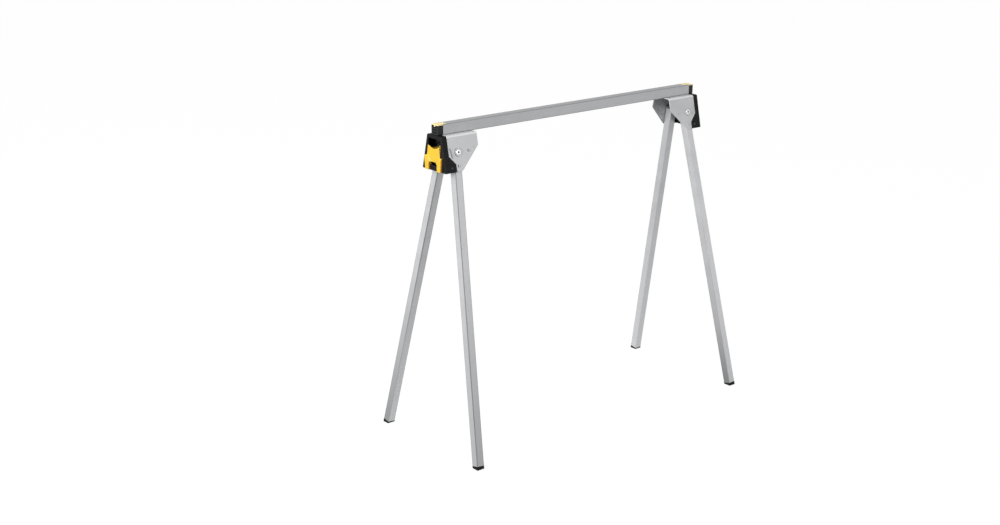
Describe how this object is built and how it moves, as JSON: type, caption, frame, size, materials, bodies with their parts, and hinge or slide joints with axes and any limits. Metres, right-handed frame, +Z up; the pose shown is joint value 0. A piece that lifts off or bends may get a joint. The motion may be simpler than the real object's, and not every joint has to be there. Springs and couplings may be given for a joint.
{
  "type": "folding trestle",
  "caption": "Folding steel trestle for site work: square beam on splayed square legs that fold in under it, with latches at both ends.",
  "frame": {"origin": "on the floor, midway between the four feet, below the middle of the beam", "axes": "+X along the beam, +Y across it, +Z up"},
  "size_m": [0.8722, 0.3776, 0.78],
  "materials": {
    "beam_steel": "smooth silver coat",
    "leg_steel": "smooth silver coat",
    "saddle_steel": "pressed sheet, silver coat",
    "rivet_steel": "zinc plated",
    "black_plastic": "fine moulded grain",
    "yellow_plastic": "fine moulded grain",
    "foot_plastic": "fine moulded grain, scuffed sole",
    "washer_plastic": "plain",
    "spring_steel": "spring wire",
    "screw_steel": "black oxide"
  },
  "bodies": {
    "root": {"beam_tube": "beam_steel", "end_cap_left": "black_plastic", "top_insert_left": "yellow_plastic", "saddle_left": "saddle_steel", "saddle_rivets_left": "rivet_steel", "latch_housing_left": "black_plastic", "cross_brace_left": "black_plastic", "housing_screws_left": "screw_steel", "latch_spring_left": "spring_steel", "pivot_rivet_left_front": "rivet_steel", "pivot_rivet_left_back": "rivet_steel", "end_cap_right": "black_plastic", "top_insert_right": "yellow_plastic", "saddle_right": "saddle_steel", "saddle_rivets_right": "rivet_steel", "latch_housing_right": "black_plastic", "cross_brace_right": "black_plastic", "housing_screws_right": "screw_steel", "latch_spring_right": "spring_steel", "pivot_rivet_right_front": "rivet_steel", "pivot_rivet_right_back": "rivet_steel"},
    "latch_left_body": {"latch_left": "yellow_plastic"},
    "leg_left_front": {"leg_tube_left_front": "leg_steel", "leg_foot_left_front": "foot_plastic", "leg_bush_left_front": "rivet_steel", "pivot_washer_left_front": "washer_plastic", "detent_button_left_front": "rivet_steel"},
    "leg_left_back": {"leg_tube_left_back": "leg_steel", "leg_foot_left_back": "foot_plastic", "leg_bush_left_back": "rivet_steel", "pivot_washer_left_back": "washer_plastic", "detent_button_left_back": "rivet_steel"},
    "latch_right_body": {"latch_right": "yellow_plastic"},
    "leg_right_front": {"leg_tube_right_front": "leg_steel", "leg_foot_right_front": "foot_plastic", "leg_bush_right_front": "rivet_steel", "pivot_washer_right_front": "washer_plastic", "detent_button_right_front": "rivet_steel"},
    "leg_right_back": {"leg_tube_right_back": "leg_steel", "leg_foot_right_back": "foot_plastic", "leg_bush_right_back": "rivet_steel", "pivot_washer_right_back": "washer_plastic", "detent_button_right_back": "rivet_steel"}
  },
  "joints": [
    {"name": "fold_left_front", "type": "hinge", "parent": "root", "child": "leg_left_front", "pos_m": [-0.37204, -0.02269, 0.71327], "axis": [0, -0.977, 0.213], "range_deg": [0, 95.9]},
    {"name": "fold_left_back", "type": "hinge", "parent": "root", "child": "leg_left_back", "pos_m": [-0.37204, 0.02269, 0.71327], "axis": [0, -0.977, -0.213], "range_deg": [0, 95.9]},
    {"name": "fold_right_front", "type": "hinge", "parent": "root", "child": "leg_right_front", "pos_m": [0.37204, -0.02269, 0.71327], "axis": [0, 0.977, -0.213], "range_deg": [0, 92.48]},
    {"name": "fold_right_back", "type": "hinge", "parent": "root", "child": "leg_right_back", "pos_m": [0.37204, 0.02269, 0.71327], "axis": [0, 0.977, 0.213], "range_deg": [0, 92.48]},
    {"name": "latch_left_slide", "type": "slide", "parent": "root", "child": "latch_left_body", "axis": [0, 0, 1], "range_m": [0, 0.015], "stiffness_N_per_m": 300, "springref_m": -0.005, "deforming": ["latch_spring_left"]},
    {"name": "latch_right_slide", "type": "slide", "parent": "root", "child": "latch_right_body", "axis": [0, 0, 1], "range_m": [0, 0.015], "stiffness_N_per_m": 300, "springref_m": -0.005, "deforming": ["latch_spring_right"]}
  ]
}
